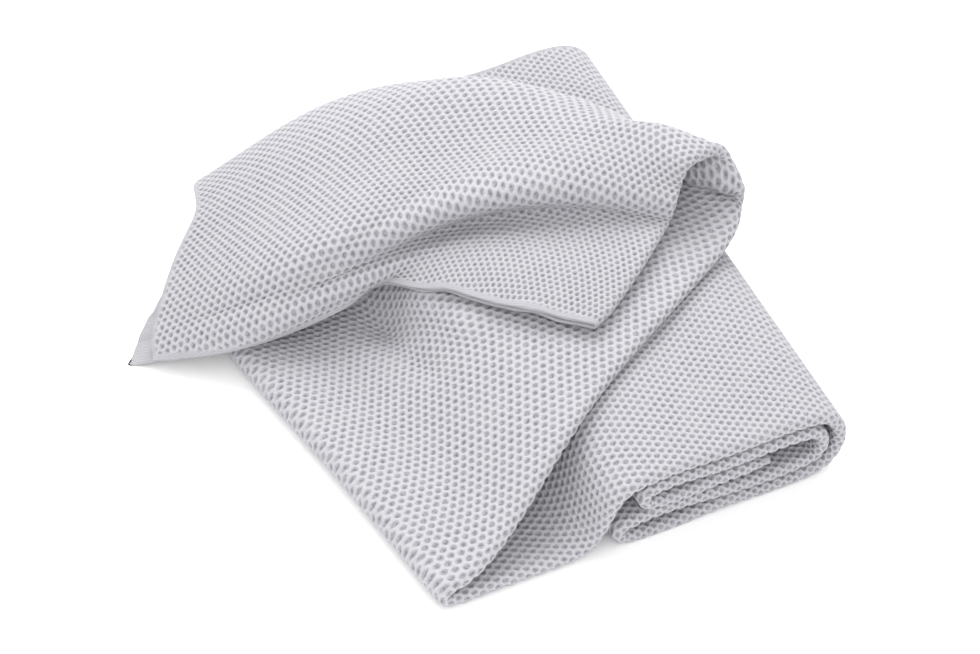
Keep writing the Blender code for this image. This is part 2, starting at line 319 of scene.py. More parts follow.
def press(surface, lines, places, across):
    """Press the soft forms of the table into the middle surface."""
    names = [line[0] for line in lines]
    run = lengths_along(np.array([line[1] for line in lines]))
    here = np.stack([along(run[:, column], places) for column in range(run.shape[1])], 1)
    for form in PUSHES:
        start = run[names.index(form.line)] + form.past
        share = np.exp(-((here - start) / form.reach) ** 2 - ((across - form.across) / form.spread) ** 2)
        surface = surface + share[..., None] * np.array(form.push, float)
    return surface


def middle_surface(places, across):
    """Points of the strip's middle surface, and its square-on, width and forward directions."""
    lines = all_lines(across)
    last = len(lines) - 1.0
    nudge = 0.02
    ahead = np.minimum(places + nudge, last)
    behind = np.maximum(places - nudge, 0)
    surface, front, rear = [press(skin(lines, at), lines, at, across) for at in (places, ahead, behind)]
    width = np.gradient(surface, across, axis=1)
    forward = front - rear
    normal = np.cross(forward, width)
    forward /= np.linalg.norm(forward, axis=2, keepdims=True)
    normal /= np.linalg.norm(normal, axis=2, keepdims=True)
    width /= np.linalg.norm(width, axis=2, keepdims=True)
    return surface, normal, width, forward


# ---------------- knit lay
LAY_ACROSS = np.linspace(0, 1, 19)  # widths of the coarse grid that is laid flat
LAY_ROUNDS = 60                     # rounds of turning its triangles and fitting them together
LAY_WEIGHTS = (0.02, 50)            # least and most pull of one side of a triangle


def flatten(points):
    """Lay a grid of points out flat as rigidly as it goes; its first column stays straight."""
    rows, columns = points.shape[:2]
    number = np.arange(rows * columns).reshape(rows, columns)
    a, b, c, d = number[:-1, :-1], number[1:, :-1], number[1:, 1:], number[:-1, 1:]
    halves = ((a, b, c), (a, c, d), (a, b, d), (b, c, d))
    corners = np.concatenate([np.stack(half, -1).reshape(-1, 3) for half in halves])
    place = points.reshape(-1, 3)[corners]
    side, other = place[:, 1] - place[:, 0], place[:, 2] - place[:, 0]
    length = np.linalg.norm(side, axis=1)
    reach = (side * other).sum(1) / length
    rise = np.sqrt(np.maximum((other * other).sum(1) - reach ** 2, 1e-9))
    shape = np.stack([np.zeros(len(length)), length, reach + 1j * rise], 1)
    pairs = []
    for i, j, k in ((0, 1, 2), (1, 2, 0), (2, 0, 1)):
        p, q = shape[:, i] - shape[:, k], shape[:, j] - shape[:, k]
        weight = np.clip((p * q.conj()).real / np.abs((p.conj() * q).imag), *LAY_WEIGHTS)
        pairs.append((corners[:, i], corners[:, j], weight, shape[:, i] - shape[:, j]))
    pull = np.zeros((rows * columns, rows * columns))
    for i, j, weight, _ in pairs:
        np.add.at(pull, (i, i), weight)
        np.add.at(pull, (j, j), weight)
        np.add.at(pull, (i, j), -weight)
        np.add.at(pull, (j, i), -weight)
    solve = []
    for held in (number[:1, 0], number[:, 0]):
        held_pull = pull.copy()
        held_pull[held] = 0
        held_pull[held, held] = 1
        solve.append((held, np.linalg.inv(held_pull)))
    flat = (lengths_along(points) + 1j * lengths_along(points.transpose(1, 0, 2)).T).reshape(-1)
    for _ in range(LAY_ROUNDS):
        turn = sum(weight * (flat[i] - flat[j]) * edge.conj() for i, j, weight, edge in pairs)
        turn /= np.abs(turn)
        right = np.zeros(len(flat), complex)
        for i, j, weight, edge in pairs:
            np.add.at(right, i, weight * turn * edge)
            np.add.at(right, j, -weight * turn * edge)
        u, v = right.real.copy(), right.imag.copy()
        u[solve[0][0]] = 0
        v[solve[1][0]] = 0
        flat = solve[0][1] @ u + 1j * (solve[1][1] @ v)
    return np.stack([flat.real, flat.imag], 1).reshape(rows, columns, 2)


@lru_cache(maxsize=1)
def knit_lay():
    """The strip laid flat at every half line: lengths along, and flat places."""
    lines = all_lines(LAY_ACROSS)
    places = np.arange(2 * len(lines) - 1) / 2
    surface = skin(lines, places)
    return places, flatten(surface)


def knit_places(places, across):
    """Where each point of a grid lies in the flat cloth, in millimetres."""
    rows, flat = knit_lay()
    lines = all_lines(across)
    wide = np.stack([spline(LAY_ACROSS, line, across) for line in flat])
    result = np.zeros((len(places), len(across), 2))
    for column in range(len(across)):
        knots = lengths_along(np.array([line[1][column] for line in lines]))
        result[:, column] = spline(along(knots, rows), wide[:, column], along(knots, places))
    return result


# ---------------- strip
STRIP_ACROSS = np.linspace(0, 1, 121)  # widths of the dense grid
STRIP_STEP = 1.5                    # its step along the strip
UPPER, LOWER = 1, -1

# What each column of the dense grid holds
POINT, SQUARE_ON, WIDTHWISE, FORWARD = (slice(start, start + 3) for start in (0, 3, 6, 9))
TO_BORDER, TO_END = 12, 13

Strip = namedtuple("Strip", "grid flat")


def ramp(low, high, value):
    """Smooth step from 0 at low to 1 at high."""
    share = np.clip((value - low) / (high - low), 0, 1)
    return share * share * (3 - 2 * share)


def wander(flat):
    """Small, slow wandering of the knit's rows, in millimetres, none at the doubled edge."""
    u, v = flat[..., 0], flat[..., 1]
    du = 0.35 * np.sin(u / 23 + 1.1 * np.sin(v / 31)) + 0.22 * np.sin(v / 9.7 + u / 41)
    dv = 0.30 * np.sin(v / 19 + 0.9 * np.sin(u / 27)) + 0.20 * np.sin(u / 11.3 - v / 37)
    return flat + np.stack([du, dv * ramp(0, 12, v)], -1)


def strip_rows():
    """Fractional line numbers all along the strip, one step apart."""
    grid = np.array([line[1] for line in all_lines(np.linspace(0, 1, 5))])
    run = lengths_along(grid).max(axis=1)
    count = int(np.ceil(run[-1] / STRIP_STEP))
    return np.interp(np.linspace(0, run[-1], count + 1), run, np.arange(len(run)))


@lru_cache(maxsize=2)
def strip(face):
    """The strip on a dense grid, for one ply, and where its points lie in the flat cloth."""
    rows = strip_rows()
    points, normal, width, forward = middle_surface(rows, STRIP_ACROSS)
    flat = knit_places(rows, STRIP_ACROSS)
    if face == UPPER:
        first = line_number(LOWER_PLY_FROM[0]) + LOWER_PLY_FROM[1]
        swell = LOWER_PLY_SWELL * ramp(0, LOWER_PLY_LINES, rows - first)
        share = swell + (1 - LOWER_PLY_SWELL) * np.clip((rows - first) / (rows[-1] - first), 0, 1)
        share = share[:, None] * ramp(LOWER_PLY_ACROSS, 1.0, STRIP_ACROSS)
        points = points + width * (share * LOWER_PLY_REACH)[..., None]
        flat[..., 1] += share * LOWER_PLY_REACH
    wide = lengths_along(points.transpose(1, 0, 2)).T
    run = lengths_along(points)
    edges = np.stack([wide[:, -1:] - wide, np.minimum(run, run[-1] - run)], -1)
    return Strip(np.concatenate([points, normal, width, forward, edges], 2), wander(flat))


def strip_row(line):
    """Row of the dense grid nearest to a fold line."""
    return int(np.argmin(np.abs(strip_rows() - line)))


def read_grid(grid, row, column):
    """Smooth reading of a grid at fractional rows and columns."""
    padded = np.pad(grid, ((1, 1), (1, 1), (0, 0)), mode="reflect", reflect_type="odd")
    starts, weights = [], []
    for place, size in ((row, grid.shape[0]), (column, grid.shape[1])):
        start = np.clip(np.floor(place).astype(int), 0, size - 2)
        t = place - start
        starts.append(start)
        weights.append((-t + 2 * t ** 2 - t ** 3, 2 - 5 * t ** 2 + 3 * t ** 3,
                        t + 4 * t ** 2 - 3 * t ** 3, t ** 3 - t ** 2))
    total = 0
    for i in range(4):
        for j in range(4):
            share = weights[0][i] * weights[1][j] / 4
            total = total + share[..., None] * padded[starts[0] + i, starts[1] + j]
    return total


def cross_lines(side, first, last, u, v):
    """Grid rows and columns where flat lines u and v cross between two rows, and the true u there."""
    flat = side.flat[first:last + 1]
    count = np.arange(flat.shape[1])
    column = np.stack([np.interp(v, line, count) for line in flat[..., 1]])
    run = np.stack([np.interp(v, wide, line) for line, wide in zip(flat[..., 0], flat[..., 1])])
    tall = np.arange(first, last + 1)
    places = [np.stack([np.interp(u, run[:, k], values[:, k]) for k in range(len(v))], 1)
              for values in (np.broadcast_to(tall[:, None], run.shape), column, run)]
    return places


# ---------------- knitting
REACHED_BAND = 24.0                 # how much of the inner side shows where a ply reaches past the other

# Mesh lines to a pair of cells, and how sparse they are in the hidden cloth
LINES_ALONG = 8
LINES_ACROSS = 4
COARSE = 8
EDGE_BAND = 14.0                    # width of the bands at the edges that are always knit fine
SPARE_WIDTH = LOWER_PLY_REACH + 3 * EDGE_BAND  # how far mesh lines go past the strip's width
WHOLE = 1.1                         # a little over the width: a ply in sight is fine all over

# Marks of the mesh's corners that lie past a cut or past the far border
INSIDE, BEFORE, AFTER, PAST_BORDER = 0, 1, 2, 3

# Where the pits fade in, as multiples of the border's and of the hem's width
BORDER_FADE = (0.8, 2.2)
HEM_FADE = (0.8, 1.4)


def cell_lines(first, last, size, parts):
    """Lines of the mesh between two places, a whole number of them to a pair of cells."""
    step = size / MM / parts
    return np.arange(np.floor(first / step), np.ceil(last / step) + 1) * step


def width_lines(upper, lower, bend, border, sizes):
    """Widths from the upper hem round the doubled edge to the lower one, and which are fine.

    upper and lower are the shares of the plies' widths that are knit fine.
    """
    reach = STRIP_WIDTH + SPARE_WIDTH
    lines = cell_lines(-reach, reach, sizes.cell_width, LINES_ACROSS)[::-1]
    v = np.abs(lines) - bend
    shown = np.where(lines > 0, upper, lower) * STRIP_WIDTH * WHOLE
    fine = (v < EDGE_BAND) | (v > border - EDGE_BAND) | (v < shown)
    number = np.arange(len(lines))
    keep = fine | (number % COARSE == 0)
    return lines[keep], fine[keep]


# The cloth is pinched thinner towards the hems at its ends
PINCH = 0.6
PINCH_REACH = 14.0

# A cell's corners are rounded to a circle, as a share of the cell's width
ROUND = 0.475


def pits(u, w, sizes):
    """Depth of the honeycomb's pits at places of the flat cloth, from 0 on the net to 1."""
    long, wide = sizes.cell_length / MM, sizes.cell_width / MM
    found = []
    for shift in (0.0, 0.5):
        x = np.abs((u / long + shift + 0.5) % 1 - 0.5) * long
        y = np.abs((w / wide + shift + 0.5) % 1 - 0.5) * wide
        found.append((x, y))
    nearer = np.hypot(*found[0]) < np.hypot(*found[1])
    x, y = [np.where(nearer, a, b) for a, b in zip(*found)]
    slant = np.hypot(long, wide) / 2
    wall = np.minimum(wide / 2 - y, slant / 2 - (x * long + y * wide) / (2 * slant))
    wall = np.minimum(wall, ROUND * wide - np.hypot(x, y))
    return ramp(sizes.net / MM / 2, sizes.net / MM / 2 + sizes.wall / MM, wall)


def pinch(distance):
    """Share of its thickness that the cloth keeps at a distance from an end hem, in millimetres."""
    return PINCH + (1 - PINCH) * ramp(0, PINCH_REACH, distance)


def knit_length(name, first, last, upper, lower, context):
    """Knit the strip between two rows as one open skin: upper ply, doubled edge, lower ply."""
    sizes = context.scene.blanket_sizes
    half = (sizes.ply + sizes.gap / 2) / MM
    bend = np.pi * half / 2
    sides = {face: strip(face) for face in (UPPER, LOWER)}
    border = min(side.flat[first:last + 1, -1, 1].min() for side in sides.values())
    w, fine = width_lines(upper, lower, bend, border, sizes)
    run = np.concatenate([side.flat[first:last + 1, :, 0] for side in sides.values()], 1)
    u = cell_lines(run.min(), run.max(), sizes.cell_length, LINES_ALONG)
    points, lay, plain, gone = [], [], [], []
    for face in (UPPER, LOWER):
        mine = w > 0 if face == UPPER else w <= 0
        v = np.maximum(np.abs(w[mine]) - bend, 0)
        row, column, true_u = cross_lines(sides[face], first, last, u, v)
        found = read_grid(sides[face].grid, row, column)
        normal, width = found[..., SQUARE_ON], found[..., WIDTHWISE]
        turn = np.pi / 2 * (1 - np.clip(w[mine] / bend, -1, 1))[None, :, None]
        outward = normal * np.cos(turn) - width * np.sin(turn)
        outward /= np.linalg.norm(outward, axis=2, keepdims=True)
        band = (ramp(*[share * sizes.border / MM for share in BORDER_FADE], found[..., TO_BORDER])
                * ramp(*[share * sizes.hem / MM for share in HEM_FADE], found[..., TO_END]))
        deep = sizes.pit_depth / MM * pits(true_u, w[mine], sizes) * band * fine[mine]
        thick = half * pinch(found[..., TO_END])
        points.append(found[..., POINT] + outward * (thick - deep)[..., None])
        lay.append(np.stack([true_u, np.broadcast_to(w[mine], true_u.shape)], -1))
        plain.append(band)
        state = np.where(row <= first, BEFORE, np.where(row >= last, AFTER, INSIDE))
        gone.append(np.where(column >= len(STRIP_ACROSS) - 1, PAST_BORDER, state))
    return skin_object(name, *[np.concatenate(x, 1) for x in (points, lay, plain, gone)], context)


def place_points(points):
    """From the tables' millimetres to the frame's metres."""
    moved = np.array(points, float)
    moved[..., 0] -= CENTRE[0]
    moved[..., 1] -= CENTRE[1]
    moved[..., 2] = np.maximum(moved[..., 2], 0)
    return moved * MM


def skin_object(name, points, lay, plain, gone, context, closed=False):
    """A grid of points as a smooth mesh that carries its place in the flat cloth.

    A face is left out where all its corners have the same mark in gone.
    """
    rows, across = points.shape[:2]
    number = np.arange(rows * across).reshape(rows, across)
    if closed:
        number = np.concatenate([number, number[:, :1]], 1)
    faces = np.stack([number[:-1, :-1], number[:-1, 1:], number[1:, 1:], number[1:, :-1]], -1).reshape(-1, 4)
    state = gone.reshape(-1)[faces]
    faces = faces[~((state[:, 0] != INSIDE) & (state == state[:, :1]).all(1))]
    used, faces = np.unique(faces, return_inverse=True)
    faces = faces.reshape(-1, 4)
    mesh = bpy.data.meshes.new(name)
    mesh.vertices.add(len(used))
    mesh.vertices.foreach_set("co", place_points(points.reshape(-1, 3)[used]).reshape(-1))
    mesh.loops.add(faces.size)
    mesh.loops.foreach_set("vertex_index", faces.reshape(-1))
    mesh.polygons.add(len(faces))
    mesh.polygons.foreach_set("loop_start", np.arange(0, faces.size, 4))
    mesh.update(calc_edges=True)
    mesh.shade_smooth()
    flat = mesh.uv_layers.new(name="flat cloth")
    flat.data.foreach_set("uv", (lay.reshape(-1, 2) * MM)[used][faces.reshape(-1)].reshape(-1))
    bands = mesh.attributes.new("honeycomb", "FLOAT", "POINT")
    bands.data.foreach_set("value", plain.reshape(-1)[used].astype(np.float32))
    mesh.validate()
    piece = bpy.data.objects.new(name, mesh)
    context.scene.collection.objects.link(piece)
    return piece


def dress(piece, material):
    """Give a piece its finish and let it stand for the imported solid."""
    piece.data.materials.append(material)
    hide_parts(NODE)
    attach(piece, BODY)
    return piece


TUBE_SIDES = 14
TUBE_TAPER = 0.6                    # length over which a tube's ends close
TUBE_PROUD = 0.05                   # how far a hem stands out of its ply
HEM_OVERLAP = 0.3                   # how far a hem stands past the cloth's border


def hem_tube(name, centre, outward, normal, wide, keeps, sizes, context):
    """A narrow band along a border, as a flattened tube with closed ends."""
    run = lengths_along(centre)
    wave = 0.35 * np.sin(run / 5.3) * np.sin(run / 17) + 0.2 * np.sin(run / 2.9 + 1)
    centre = centre + outward * wave[:, None]
    around = np.linspace(0, 2 * np.pi, TUBE_SIDES, endpoint=False)
    half_wide = wide / MM / 2
    half_thick = (sizes.ply / MM / 2 + TUBE_PROUD) * np.broadcast_to(keeps, run.shape)
    taper = np.minimum(1, np.minimum(run, run[-1] - run) / TUBE_TAPER)
    taper = np.sqrt(1 - (1 - taper) ** 2)
    ring = (outward[:, None] * (half_wide * np.cos(around))[None, :, None]
            + normal[:, None] * (half_thick[:, None] * np.sin(around))[..., None])
    points = centre[:, None] + ring * taper[:, None, None]
    lay = np.stack(np.broadcast_arrays(run[:, None], (around * half_wide)[None]), -1)
    none = np.zeros(points.shape[:2])
    return skin_object(name, points, lay, none, none, context, closed=True)


def far_hem(face, sizes):
    """Middle, directions, width and share of thickness of the hem along the far border of one ply."""
    rows = np.arange(0, len(strip_rows()) - 0.9, 0.5)
    found = read_grid(strip(face).grid, rows, np.full_like(rows, len(STRIP_ACROSS) - 1))
    mid = (sizes.ply + sizes.gap) / MM / 2
    inset = sizes.border / MM / 2 - HEM_OVERLAP
    normal, width, keeps = found[:, SQUARE_ON], found[:, WIDTHWISE], pinch(found[:, TO_END])
    centre = found[:, POINT] + normal * (face * mid * keeps)[:, None] - width * inset
    return centre, width, normal, sizes.border, keeps


def reached_band(sizes, context):
    """The inner side of the ply that reaches past the other: a ribbed band along the far border."""
    side = strip(UPPER)
    first = strip_row(line_number(LOWER_PLY_FROM[0]) + LOWER_PLY_FROM[1])
    last = len(strip_rows()) - 1
    row = np.arange(first, last + 0.25, 0.5)[:, None]
    inward = np.arange(0, REACHED_BAND, 1.0) + sizes.border / MM / 2
    column = len(STRIP_ACROSS) - 1 - inward[None] / STRIP_WIDTH * (len(STRIP_ACROSS) - 1)
    row, column = np.broadcast_arrays(row, column)
    found = read_grid(side.grid, row, column)
    thick = sizes.gap / MM / 2 * pinch(found[..., TO_END, None])
    points = found[..., POINT] + found[..., SQUARE_ON] * thick
    run = lengths_along(found[:, 0, POINT])
    lay = np.stack(np.broadcast_arrays(run[:, None], inward[None]), -1)
    none = np.zeros(points.shape[:2])
    return skin_object("blanket-reach", points[:, ::-1], lay[:, ::-1], none, none, context)


def end_hem(row, way, sizes):
    """Middle, directions, width and share of thickness of the hem round one end of the strip."""
    mid = PINCH * (sizes.ply + sizes.gap) / MM / 2
    inset = sizes.hem / MM / 2 - HEM_OVERLAP
    columns = np.arange(0, len(STRIP_ACROSS) - 0.7, 0.35)
    rows = np.full_like(columns, row)
    upper, lower = [read_grid(strip(face).grid, rows, columns) for face in (UPPER, LOWER)]
    turn = np.linspace(0, np.pi, 9)[1:-1, None]
    edge = upper[0, SQUARE_ON] * np.cos(turn) - upper[0, WIDTHWISE] * np.sin(turn)
    normal = np.concatenate([upper[::-1, SQUARE_ON], edge, -lower[:, SQUARE_ON]])

    def all_round(part):
        """A part of the grid over the upper ply, at the doubled edge and over the lower ply."""
        return np.concatenate([upper[::-1, part], np.repeat(upper[:1, part], len(edge), 0), lower[:, part]])

    forward = way * all_round(FORWARD)
    return all_round(POINT) + normal * mid - forward * inset, forward, normal, sizes.hem, PINCH


# ---------------- finishes
# How fine each kind of unevenness is, in waves to a metre
FIBRE_FUZZ = 2600.0
STRANDS = 850.0
UNEVEN_ROWS = 420.0
PATCHES = 60.0

RAGGED_EDGE = 0.0006                # how far a pit's edge wanders, in metres
STITCH_LENGTH = 0.0011
STITCH_WIDTH = 0.0014

# How much each part of the knit shows in the colour, and how far it stands out (or,
# below nothing, in) in the bump
# The rib and stitch shares paint shade into the grooves between the ribs and the hollows between the
# stitches
SHADE = {"hem": 0.8, "rib": 0.45, "stitch": 0.30, "tint": 0.14}
RELIEF = {"stitch": 0.35, "fuzz": 0.45, "shaded_pit": -0.5, "shadow_hole": -0.8, "rib": -0.8}
BUMP_STRENGTH = 0.7
BUMP_DISTANCE = 0.0005


class Net:
    """Short hand for a material's node tree."""

    def __init__(self, material):
        material.use_nodes = True
        self.tree = material.node_tree
        self.shader = self.tree.nodes["Principled BSDF"]

    def node(self, kind, **settings):
        """A new node with its settings."""
        made = self.tree.nodes.new(kind)
        for key, value in settings.items():
            setattr(made, key, value)
        return made

    def put(self, socket, value):
        """Link or set an input."""
        if isinstance(value, bpy.types.NodeSocket):
            self.tree.links.new(value, socket)
        else:
            socket.default_value = value

    def math(self, operation, *values):
        """One sum of two values, or a function of one."""
        made = self.node("ShaderNodeMath", operation=operation)
        for socket, value in zip(made.inputs, values):
            self.put(socket, value)
        return made.outputs[0]

    def length(self, x, y):
        """Length of a flat vector."""
        return self.math("SQRT", self.math("ADD", self.math("MULTIPLY", x, x), self.math("MULTIPLY", y, y)))

    def lerp(self, share, a, b):
        """Mix of two values."""
        return self.math("ADD", a, self.math("MULTIPLY", self.math("SUBTRACT", b, a), share))

    def blend(self, share, a, b):
        """Mix of two colours."""
        made = self.node("ShaderNodeMix", data_type="RGBA")
        for socket, value in zip((made.inputs[0], made.inputs[6], made.inputs[7]), (share, a, b)):
            self.put(socket, value)
        return made.outputs[2]

    def step(self, value, low, high, start=0.0, end=1.0):
        """Smooth step from start at low to end at high."""
        made = self.node("ShaderNodeMapRange", interpolation_type="SMOOTHSTEP")
        for socket, item in zip(made.inputs, (value, low, high, start, end)):
            self.put(socket, item)
        return made.outputs[0]

    def noise(self, vector, scale, detail=2.0):
        """Soft unevenness from 0 to 1."""
        made = self.node("ShaderNodeTexNoise")
        self.put(made.inputs["Vector"], vector)
        made.inputs["Scale"].default_value = scale
        made.inputs["Detail"].default_value = detail
        return made.outputs["Fac"]


def cell_place(net, u, v, sizes):
    """Place in the nearest cell, and distance inward from the middle of the net, in metres."""
    found = []
    for shift in (0.5, 0.0):
        place = []
        for value, size in ((u, sizes.cell_length), (v, sizes.cell_width)):
            share = net.math("FRACT", net.math("ADD", net.math("DIVIDE", value, size), shift))
            place.append(net.math("MULTIPLY", net.math("SUBTRACT", share, 0.5), size))
        found.append((*place, net.length(*place)))
    first, second = found
    nearer = net.math("LESS_THAN", first[2], second[2])
    x, y = [net.lerp(nearer, b, a) for a, b in zip(first[:2], second[:2])]
    slant = np.hypot(sizes.cell_length, sizes.cell_width)
    across = net.math("ABSOLUTE", y)
    lengthwise = net.math("MULTIPLY", net.math("ABSOLUTE", x), sizes.cell_length / slant)
    aslant = net.math("ADD", lengthwise, net.math("MULTIPLY", across, sizes.cell_width / slant))
    wall = net.math("MINIMUM", net.math("SUBTRACT", sizes.cell_width / 2, across),
                    net.math("SUBTRACT", slant / 4, net.math("MULTIPLY", aslant, 0.5)))
    off = net.lerp(nearer, second[2], first[2])
    return x, y, net.math("MINIMUM", wall, net.math("SUBTRACT", ROUND * sizes.cell_width, off))


def stitches(net, u, v, length, width):
    """Chevrons of a plain knit, from 0 to 1."""
    wale = net.math("ABSOLUTE", net.math("SUBTRACT", net.math("FRACT", net.math("DIVIDE", v, width)), 0.5))
    slant = net.math("ADD", net.math("DIVIDE", u, length), net.math("MULTIPLY", wale, 1.2))
    wave = net.math("SINE", net.math("MULTIPLY", net.math("FRACT", slant), np.pi))
    return net.math("MULTIPLY", wave, net.step(wale, 0.0, 0.12, 0.45, 1.0))


def pit_shadow_holes(net, place, x, y, radius):
    """Gaps between the strands at the bottom of a pit, where painted shadow shows through, from 0 to 1."""
    middle = net.step(net.length(x, y), 0.1 * radius, radius, 1.0, 0.0)
    strands = net.step(net.noise(place, STRANDS, 1.0), 0.42, 0.60, 0.25, 1.0)
    return net.math("MULTIPLY", middle, strands)


def honeycomb_knit(context):
    """Raised yarn net round soft pits, with fine stitches on the net and a fuzz of fibre; painted shade
    darkens the pits, the rib grooves and the hollows between the stitches, and painted shadow fills the gaps
    in the pits.
    """
    sizes, colours = context.scene.blanket_sizes, context.scene.blanket_colours
    name = "honeycomb cotton knit"
    if name in bpy.data.materials:
        return bpy.data.materials[name]
    material = bpy.data.materials.new(name)
    net = Net(material)
    place = net.node("ShaderNodeUVMap", uv_map="flat cloth").outputs[0]
    parts = net.node("ShaderNodeSeparateXYZ")
    net.put(parts.inputs[0], place)
    u, v = parts.outputs[0], parts.outputs[1]
    comb = net.node("ShaderNodeAttribute", attribute_name="honeycomb").outputs["Fac"]
    x, y, wall = cell_place(net, u, v, sizes)
    fuzz = net.noise(place, FIBRE_FUZZ, 3.0)
    patches = net.noise(place, PATCHES)
    uneven = net.math("SUBTRACT", net.noise(place, UNEVEN_ROWS), 0.5)
    ragged = net.math("ADD", wall, net.math("MULTIPLY", uneven, RAGGED_EDGE))
    # The pit mask sinks the pit in the bump and lays the pit's painted shade in the colour
    shaded_pit = net.step(ragged, 0.4 * sizes.net, sizes.net / 2 + 0.8 * sizes.wall)
    shaded_pit = net.math("MULTIPLY", shaded_pit, comb)
    # Painted shadow in the gaps at the bottom of the pits, fainter in some patches
    shadow_holes = net.math("MULTIPLY", pit_shadow_holes(net, place, x, y, sizes.cell_width * 0.45), shaded_pit)
    shadow_holes = net.math("MULTIPLY", shadow_holes, net.step(patches, 0.2, 0.75, 0.55, 1.0))
    loops = stitches(net, u, v, STITCH_LENGTH, STITCH_WIDTH)
    plain = net.math("SUBTRACT", 1.0, comb)
    # Painted shade in the grooves between the hem's ribs, which also sink in the bump
    ribs = net.math("ABSOLUTE", net.math("SINE", net.math("MULTIPLY", u, np.pi / sizes.rib)))
    ribs = net.math("MULTIPLY", net.step(ribs, 0.0, 0.6, 1.0, 0.0), plain)
    # Painted shade in the hollows between the stitch loops, broken up by the fuzz
    stitch_shade = net.step(net.math("MULTIPLY", loops, fuzz), 0.0, 0.5, SHADE["stitch"], 0.0)
    # Colour layers: painted shade in the pits, the rib grooves and between the stitches, painted shadow in
    # the gaps; the hem band and the cooler patches are the yarn's own tones
    layers = (
        (shaded_pit, colours.shaded_pit),
        (shadow_holes, colours.shadow_hole),
        (net.math("MULTIPLY", plain, SHADE["hem"]), colours.hem),
        (net.math("MULTIPLY", ribs, SHADE["rib"]), colours.shaded_pit),
        (stitch_shade, colours.shaded_pit),
        (net.step(patches, 0.35, 0.7, 0.0, SHADE["tint"]), colours.tint),
    )
    colour = (*colours.yarn, 1)
    for share, layer in layers:
        colour = net.blend(share, colour, (*layer, 1))
    height = 0.0
    for part, name in ((loops, "stitch"), (fuzz, "fuzz"), (shaded_pit, "shaded_pit"), (shadow_holes, "shadow_hole"), (ribs, "rib")):
        height = net.math("ADD", height, net.math("MULTIPLY", part, RELIEF[name]))
    bump = net.node("ShaderNodeBump")
    bump.inputs["Strength"].default_value = BUMP_STRENGTH
    bump.inputs["Distance"].default_value = BUMP_DISTANCE
    net.put(bump.inputs["Height"], height)
    net.put(net.shader.inputs["Base Color"], colour)
    net.put(net.shader.inputs["Normal"], bump.outputs[0])
    net.shader.inputs["Roughness"].default_value = 0.9
    net.shader.inputs["Specular IOR Level"].default_value = 0.2
    net.shader.inputs["Sheen Weight"].default_value = 0.2
    net.shader.inputs["Sheen Roughness"].default_value = 0.5
    return material


def floor_finish(context):
    """Plain pale surface."""
    material = bpy.data.materials.new("plain pale surface")
    net = Net(material)
    net.put(net.shader.inputs["Base Color"], (*context.scene.blanket_studio.floor, 1))
    net.shader.inputs["Roughness"].default_value = 0.95
    net.shader.inputs["Specular IOR Level"].default_value = 0.0
    return material


# ---------------- operators
# The lengths in which the strip is knit, by the fold lines that part them; the
# stack ends where its right-hand outer turn begins, that many lines before its last
OUTER_TURN_LINES = 7
CUTS = {
    "stack": ("stack", -OUTER_TURN_LINES),
    "panel": ("panel top", 0),
    "slope": ("panel end", 0),
    "cover": ("cover back", 0),
    "roll": ("ridge", 0),
}


# How much of a ply is in sight and knit fine, from the doubled edge
HIDDEN = 0
SHOWN = 1
MOUTH = 0.35                        # the stretch that shows inside the roll


def cut_row(cut, otherwise):
    """Row of the dense grid at a cut, or otherwise at the strip's end."""
    return otherwise if cut is None else strip_row(line_number(cut[0]) + cut[1])


def knit(name, start, stop, upper, lower, context):
    first, last = cut_row(start, 0), cut_row(stop, len(strip_rows()) - 1)
    piece = dress(knit_length(name, first, last, upper, lower, context), honeycomb_knit(context))
    run = strip(LOWER).flat[[first, last], :, 0].mean(axis=1)
    return piece


class BLANKET_OT_stack(bpy.types.Operator):
    """Knit the wound stack: fine at its edges, coarse inside."""
    bl_idname = "blanket.stack"
    bl_label = "Wound stack"

    def execute(self, context):
        knit("blanket-stack", None, CUTS["stack"], HIDDEN, HIDDEN, context)
        return {"FINISHED"}


class BLANKET_OT_panel(bpy.types.Operator):
    """Knit the panel: the right-hand outer turn, the top and the slope to the surface."""
    bl_idname = "blanket.panel"
    bl_label = "Panel"

    def execute(self, context):
        knit("blanket-panel", CUTS["stack"], CUTS["panel"], HIDDEN, SHOWN, context)
        knit("blanket-slope", CUTS["panel"], CUTS["slope"], HIDDEN, SHOWN, context)
        return {"FINISHED"}


class BLANKET_OT_cover(bpy.types.Operator):
    """Knit the cover: the left fold and the slope over the stack."""
    bl_idname = "blanket.cover"
    bl_label = "Cover"

    def execute(self, context):
        knit("blanket-cover", CUTS["slope"], CUTS["cover"], SHOWN, HIDDEN, context)
        return {"FINISHED"}


class BLANKET_OT_roll(bpy.types.Operator):
    """Knit the loose roll at the back and the flap that comes forward from it."""
    bl_idname = "blanket.roll"
    bl_label = "Roll and flap"

    def execute(self, context):
        knit("blanket-roll", CUTS["cover"], CUTS["roll"], MOUTH, SHOWN, context)
        knit("blanket-flap", CUTS["roll"], None, MOUTH, SHOWN, context)
        return {"FINISHED"}


class BLANKET_OT_hems(bpy.types.Operator):
    """Lay the narrow smooth bands along the open hems."""
    bl_idname = "blanket.hems"
    bl_label = "Hems"

    def execute(self, context):
        sizes = context.scene.blanket_sizes
        last = len(strip_rows()) - 1.0
        bands = (
            ("hem-far-upper", far_hem(UPPER, sizes)),
            ("hem-far-lower", far_hem(LOWER, sizes)),
            ("hem-inner", end_hem(0.0, -1, sizes)),
            ("hem-flap", end_hem(last, 1, sizes)),
        )
        for name, band in bands:
            dress(hem_tube(name, *band, sizes, context), honeycomb_knit(context))
        dress(reached_band(sizes, context), honeycomb_knit(context))
        return {"FINISHED"}


